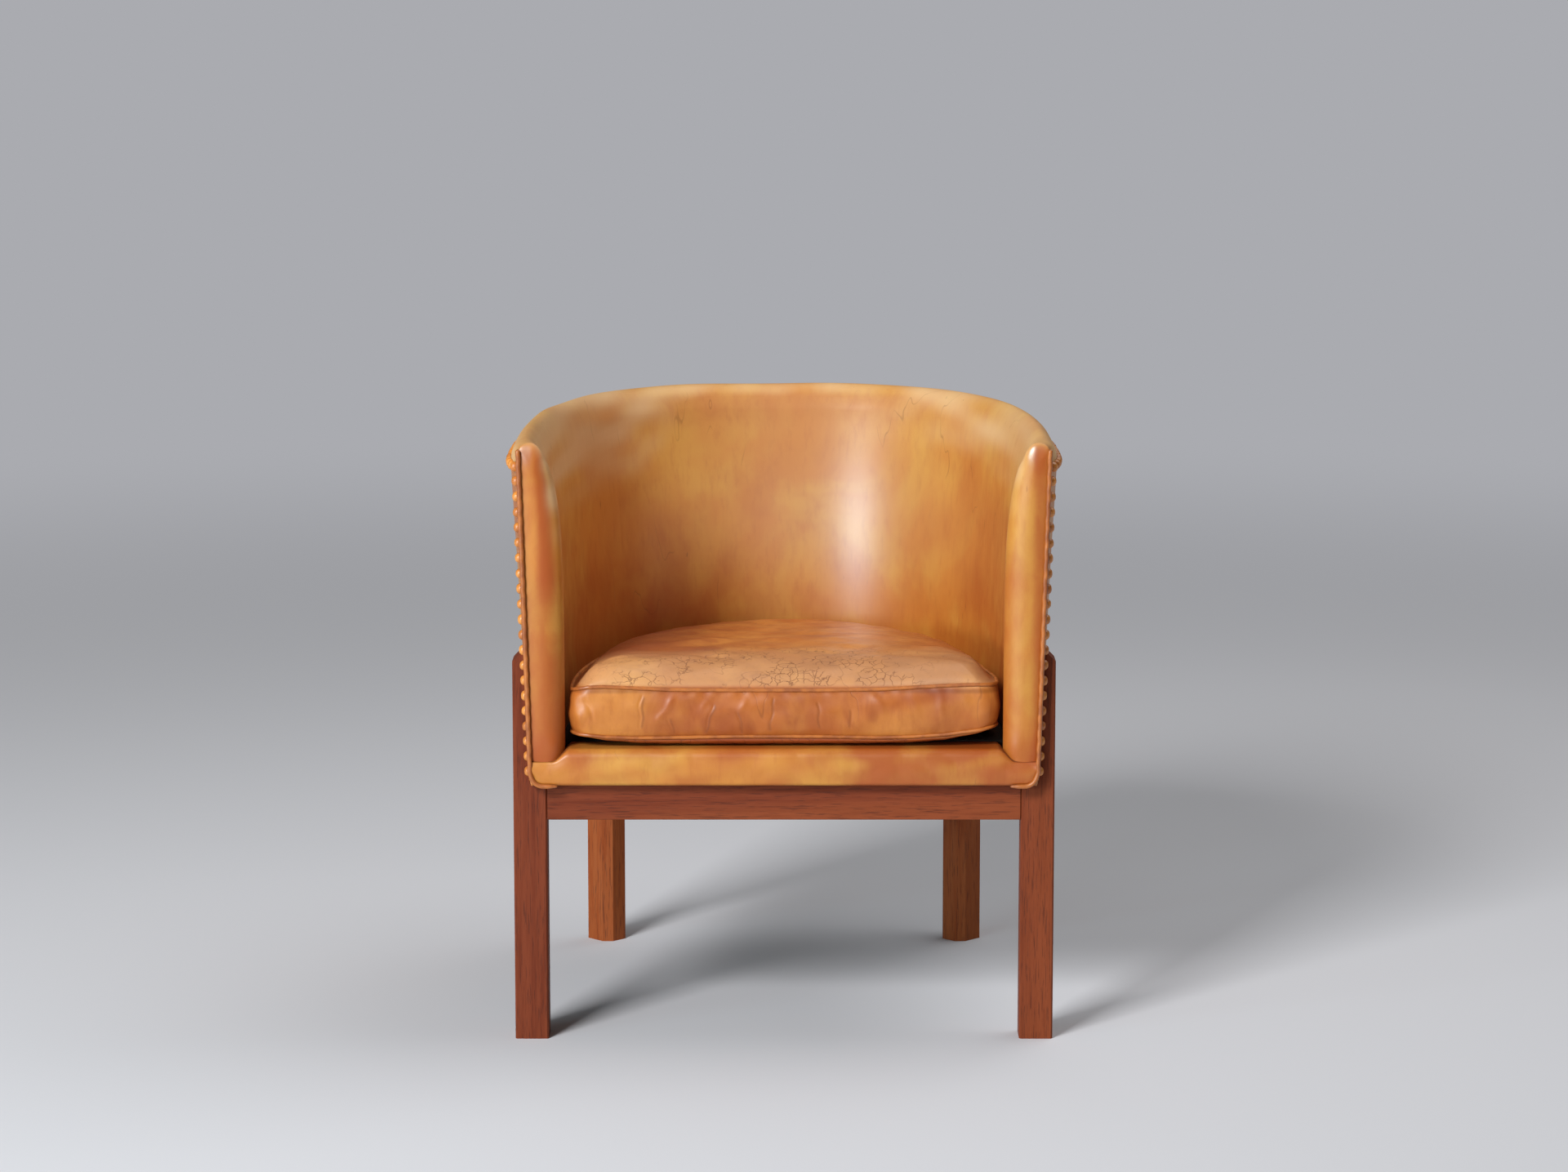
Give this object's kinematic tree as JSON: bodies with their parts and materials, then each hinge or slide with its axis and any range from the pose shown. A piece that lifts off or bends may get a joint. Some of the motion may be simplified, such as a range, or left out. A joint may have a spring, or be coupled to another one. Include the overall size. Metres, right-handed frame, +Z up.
{
  "type": "leather tub armchair",
  "caption": "Tub armchair: a leather-covered barrel with nailed edges, held in a square-legged mahogany frame, with a loose piped seat cushion.",
  "frame": {"origin": "on the floor, under the middle of the chair's bounding box", "axes": "+Z up, the chair faces -Y, +X to the viewer's right when looking at its front"},
  "size_m": [0.6756, 0.6476, 0.74],
  "materials": {
    "mahogany": "oiled mahogany, satin",
    "beech": "planed beech, unfinished",
    "plywood": "plain plywood",
    "leather": "waxed natural cowhide, worn",
    "cushion_leather": "waxed natural cowhide cover over a feather and foam filling",
    "leather_trim": "leather-covered nails, welts and piping",
    "wadding": "cotton and hair wadding",
    "cambric": "black cambric",
    "steel": "plain steel"
  },
  "bodies": {
    "chair": {"arm_post_left": "beech", "arm_post_right": "beech", "back_rail": "mahogany", "corner_block_left": "beech", "corner_block_right": "beech", "dust_cover": "cambric", "edge_welt_left": "leather_trim", "edge_welt_right": "leather_trim", "front_border": "leather", "front_leg_left": "mahogany", "front_leg_right": "mahogany", "front_nails_left": "leather_trim", "front_nails_right": "leather_trim", "front_rail": "mahogany", "inner_leather": "leather", "outer_leather": "leather", "rear_leg_left": "mahogany", "rear_leg_right": "mahogany", "rim_nails": "leather_trim", "rim_rail": "beech", "seat_pad": "wadding", "side_rail_left": "mahogany", "side_rail_right": "mahogany", "tub_board": "plywood", "tub_screw_left_1": "steel", "tub_screw_left_2": "steel", "tub_screw_right_1": "steel", "tub_screw_right_2": "steel", "wall_padding": "wadding", "wall_stile_1": "beech", "wall_stile_2": "beech", "wall_stile_3": "beech", "wall_stile_4": "beech"},
    "cushion": {"seat_cushion": "cushion_leather", "cushion_piping_top": "leather_trim", "cushion_piping_bottom": "leather_trim"}
  },
  "joints": [
    {"name": "cushion_lift", "type": "slide", "parent": "chair", "child": "cushion", "axis": [0, 0, 1], "range_m": [0, 0.4]}
  ]
}
